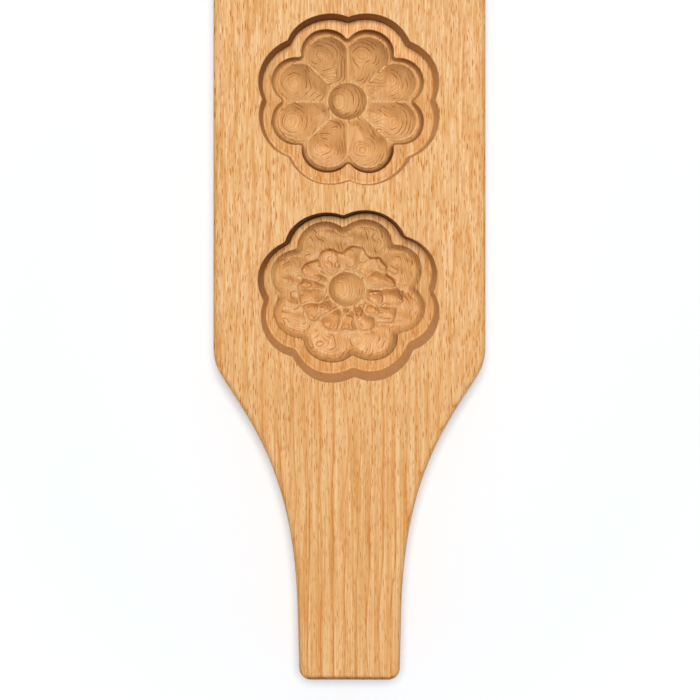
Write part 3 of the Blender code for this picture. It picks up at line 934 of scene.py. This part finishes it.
def wood_colour(node, at):
    """The clean wood's colour by its tone, which is a ground tone less the year's ring and
    with the layers, the streaks and the hairs added."""
    layers, hairs = fine_grain(node, at)
    streaks = node("Math", at.streaks, 0.5, operation="SUBTRACT")
    hair_share = node("Math", at.gouged, -0.95, 1.45, operation="MULTIPLY_ADD")
    tone = node("Math", year_rings(node, at), -0.5, 0.72, operation="MULTIPLY_ADD")
    for pattern, share in ((layers, 0.15), (streaks, 0.1), (hairs, hair_share)):
        tone = node("Math", pattern, share, tone, operation="MULTIPLY_ADD")
    colour = node("ValToRGB", tone)
    bands = colour.node.color_ramp.elements
    bands[0].color = linear("#CF863D")
    bands[1].color = linear("#F3CA97")
    bands.new(0.5).color = linear("#E2AA6A")
    return colour


def rays_and_pores(node, at):
    """Short brown dashes: one in each cell of a net that is stretched along the grain and
    follows the rays to the pith, each of a chance strength. Longer dark threads lie in the
    darker streaks, where their noise passes its middle."""
    along_ray = node("Math", at.z, PITH_X / -PITH_Z, at.x, operation="MULTIPLY_ADD")
    along_ray = node("Math", at.small, 0.6, along_ray, operation="MULTIPLY_ADD")
    dashes = []
    for (width, length), start, full, strength in DASHES:
        net = node("CombineXYZ", node("Math", along_ray, width, operation="DIVIDE"),
                   node("Math", at.y, length, operation="DIVIDE"))
        cell = node("TexVoronoi", net, inputs={"Scale": 1.0}, voronoi_dimensions="2D").node.outputs
        chance = node("MapRange", node("SeparateXYZ", cell["Color"]), 0.0, 1.1, 0.0, strength,
                      **SMOOTH)
        dash = node("MapRange", cell["Distance"], start, full, **SMOOTH)
        dashes.append(node("Math", dash, chance, operation="MULTIPLY"))
    fleck = node("Math", *dashes, operation="MAXIMUM")
    thread = node("Math", node("Math", at.threads, 0.5, operation="SUBTRACT"), operation="ABSOLUTE")
    thread = node("MapRange", thread, 0.06, 0.0, **SMOOTH)
    streaked = node("MapRange", at.streaks, 0.4, 0.6, 0.1, 0.45, **SMOOTH)
    fleck = node("Math", fleck, node("Math", thread, streaked, operation="MULTIPLY"),
                 operation="MAXIMUM")
    for value, *span in ((at.gouged, 0.0, 1.0, 1.0, 0.4), (at.y, *RAYS_FADE, 1.0, 0.7),
                         (at.flat, *FACE_SLOPES, 0.3, 1.0)):
        fleck = node("Math", fleck, node("MapRange", value, *span, **SMOOTH), operation="MULTIPLY")
    return fleck


def contour_lines(node, at):
    """The edges of the layers on gouged wood, by the share of a layer's pitch: fine lines,
    clearer on a slant, and bold ones in broken stretches, wider on a slant."""
    fine = node("Math", node("Math", at.layer, FINE_PITCH, operation="DIVIDE"), operation="FRACT")
    fine = node("Math", node("MapRange", fine, 0.3, 1.0, **SMOOTH),
                node("MapRange", at.slant, 0.0, 0.35, 0.05, 0.38, **SMOOTH), operation="MULTIPLY")
    bold = node("Math", node("Math", at.layer, BOLD_PITCH, operation="DIVIDE"), operation="FRACT")
    start = node("Math", at.slant, -0.6, 0.98, operation="MULTIPLY_ADD")
    bold = node("MapRange", bold, start, 1.0, **SMOOTH)
    for value, *span in ((at.broken, 0.42, 0.62, 0.05, 1.0), (at.slant, 0.03, 0.18, 0.3, 1.0)):
        bold = node("Math", bold, node("MapRange", value, *span, **SMOOTH), operation="MULTIPLY")
    contour = node("Math", node("Math", fine, bold, operation="MAXIMUM"), at.gouged,
                   operation="MULTIPLY")
    upright = node("MapRange", at.upward, 0.6, 0.85, **SMOOTH)
    return node("Math", contour, upright, operation="MULTIPLY")


def oil_tint(node, at):
    """The share of the light that oiled wood gives back: on ledges, warmer where they get
    painted light, and on gouged floors."""
    painted_highlight = node("MapRange", at.stain, 0.0, -0.3, **SMOOTH)
    ledge = node("Mix", painted_highlight, inputs={6: linear("#F2F2E8"), 7: linear("#FFEFD8")}, **COLOURS)
    return node("Mix", at.gouged, inputs={6: ledge, 7: linear("#F8F3E6")}, **COLOURS)


def stain_tint(node, at):
    """The share of the light that stained and shaded wood gives back, from painted highlight to
    darkest. Carved slopes that face the handle or the left get painted shade, as the photo shows
    them."""
    facing = node("VectorMath", at.normal, PALE_SIDE, operation="DOT_PRODUCT", output="Value")
    turned_away = node("Math", 0.35, facing, operation="SUBTRACT")
    leaning = node("MapRange", at.upward, 0.1, 0.45, **SMOOTH)
    turned_away = node("Math", turned_away, leaning, operation="MULTIPLY")
    turned_away = node("Math", turned_away, 1.3, operation="MULTIPLY")
    turned_away = node("Math", turned_away, -0.12, operation="MAXIMUM")
    darkness = node("Math", turned_away, at.oil, at.stain, operation="MULTIPLY_ADD")
    tint = node("ValToRGB", node("MapRange", darkness, -0.3, 1.8))
    steps = tint.node.color_ramp.elements
    # A painted highlight is lighter than clean wood, most of all in blue, past what hex gives
    steps[0].color = (1.16, 1.29, 1.62, 1.0)
    steps[1].color = linear("#301600")
    steps.new(0.143).color = (1.0, 1.0, 1.0, 1.0)
    steps.new(0.714).color = linear("#8F7563")
    return tint


def make_beech():
    """Beech, planed, carved and lightly oiled, as one wood through the whole solid.

    Planed beech looks pale and warm, with many short brown rays and pores along its
    grain, and its oil leaves it nearly matt. Where a gouge cut across the layers their
    edges show as thin lines, like the contours of a map. The stain attribute darkens the
    walls and hollows, partly as patina and partly as painted shade, and paints highlights
    on ridges. The board gets paler towards its left and its head.
    """
    beech = bpy.data.materials.new("beech_planed_and_oiled")
    beech.use_nodes = True
    tree = beech.node_tree
    node = partial(add_node, tree)
    at = wood_at(node)
    colour = wood_colour(node, at)
    for marks, mark_colour in ((rays_and_pores(node, at), linear("#C06C00")),
                               (contour_lines(node, at), linear("#9A5518"))):
        colour = node("Mix", marks, inputs={6: colour, 7: mark_colour}, **COLOURS)
    low_right = node("MapRange", node("Math", at.x, 0.7, at.y, operation="MULTIPLY_ADD"), 90.0, -70.0,
                     **SMOOTH)
    for share, tint in ((low_right, linear("#FAF7F0")), (at.oil, oil_tint(node, at)),
                        (1.0, stain_tint(node, at))):
        colour = node("Mix", share, inputs={6: colour, 7: tint}, blend_type="MULTIPLY", **COLOURS)
    shader = tree.nodes["Principled BSDF"]
    tree.links.new(colour, shader.inputs["Base Color"])
    shader.inputs["Roughness"].default_value = 0.6
    shader.inputs["Specular IOR Level"].default_value = 0.12
    return beech


def plainly_seen(tree):
    """1 for the rays that show the plain background, the camera's own and those that glossy
    and clear things pass on, and 0 for the rays that light the mold."""
    path = add_node(tree, "LightPath").node.outputs
    seen = add_node(tree, "Math", path["Is Camera Ray"], path["Is Glossy Ray"], operation="ADD",
                    use_clamp=True)
    return add_node(tree, "Math", seen, path["Is Transmission Ray"], operation="ADD", use_clamp=True)


# The table, in metres, with the white card's own colour and what it gives back where the
# camera sees it: less red than blue, to make up for the warm light that the wood throws on
# it. Its glow grows with the distance from the mold, so that the far table is plain white.
TABLE_REACH = 3.0
CARD_COLOUR = "#D8D8D8"
SHADOW_SHARE = (0.916, 0.945, 0.975, 1.0)
GLOW_START = 0.085
GLOW_END = 0.45
NEAR_GLOW = 0.055


def make_floor():
    """A square white table. The camera sees it white, and darker only in the mold's shadow."""
    corners = [(across * TABLE_REACH, along * TABLE_REACH, 0)
               for across, along in ((-1, -1), (1, -1), (1, 1), (-1, 1))]
    floor_mesh = bpy.data.meshes.new("table")
    floor_mesh.from_pydata(corners, [], [(0, 1, 2, 3)])
    table = bpy.data.objects.new("table", floor_mesh)
    bpy.context.collection.objects.link(table)
    white = bpy.data.materials.new("matt_white_card")
    white.use_nodes = True
    tree = white.node_tree
    tree.nodes.remove(tree.nodes["Principled BSDF"])
    node = partial(add_node, tree)
    away = node("VectorMath", node("TexCoord", output="Object"), operation="LENGTH", output="Value")
    strength = node("MapRange", away, GLOW_START, GLOW_END, NEAR_GLOW, 1.0, **SMOOTH)
    seen = node("AddShader", node("BsdfDiffuse", SHADOW_SHARE),
                node("Emission", inputs={"Strength": strength}))
    look = node("MixShader", plainly_seen(tree), node("BsdfDiffuse", linear(CARD_COLOUR)), seen)
    tree.links.new(look, tree.nodes["Material Output"].inputs["Surface"])
    table.data.materials.append(white)


# The camera looks straight down at the face, and its picture is shifted towards the
# handle. The picture is 700 pixels wide, and the body is 272.6 of them.
PIXELS = 700
BODY_PIXELS = 272.6
BODY_WIDTH = 75.0
CENTRE_X = 0.15
CENTRE_Y = -7.1
CAMERA_HEIGHT = 585.0
CAMERA_SHIFT = -0.045
SENSOR = 36.0


def make_camera():
    """A long lens straight above the body. Its length over the sensor's width is the
    camera's height over the width of what it sees."""
    data = bpy.data.cameras.new("camera")
    camera = bpy.data.objects.new("camera", data)
    bpy.context.collection.objects.link(camera)
    bpy.context.scene.camera = camera
    view_width = PIXELS * (BODY_WIDTH / BODY_PIXELS)
    data.sensor_width = SENSOR
    data.lens = SENSOR * CAMERA_HEIGHT / view_width
    data.shift_y = CAMERA_SHIFT
    above = (CENTRE_X, CENTRE_Y - CAMERA_SHIFT * view_width, THICKNESS + CAMERA_HEIGHT)
    camera.location = Vector(above) * MM


# The room's light, and the window's size and place in metres and its power in watts
ROOM_LIGHT = 0.27
WINDOW_SIZE = 0.26
WINDOW_PLACE = (0.005, 0.105, 1.25)
WINDOW_POWER = 11.8


def make_light():
    """An even white room, and a round soft light overhead, a little towards the head."""
    world = bpy.data.worlds.new("room")
    bpy.context.scene.world = world
    world.use_nodes = True
    tree = world.node_tree
    room = tree.nodes["Background"]
    room.inputs["Color"].default_value = (1, 1, 1, 1)
    strength = add_node(tree, "MapRange", plainly_seen(tree), 0.0, 1.0, ROOM_LIGHT, 1.0)
    tree.links.new(strength, room.inputs["Strength"])
    data = bpy.data.lights.new("window", "AREA")
    data.shape = "DISK"
    data.size = WINDOW_SIZE
    data.energy = WINDOW_POWER
    window = bpy.data.objects.new("window", data)
    bpy.context.collection.objects.link(window)
    window.location = WINDOW_PLACE
    window.rotation_euler = Vector(WINDOW_PLACE).to_track_quat("Z", "Y").to_euler()


make_camera()
board = make_board()
board.data.materials.append(make_beech())
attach(board, "root")
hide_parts("mold_board")
make_floor()
make_light()
bpy.context.scene.view_settings.view_transform = "Standard"
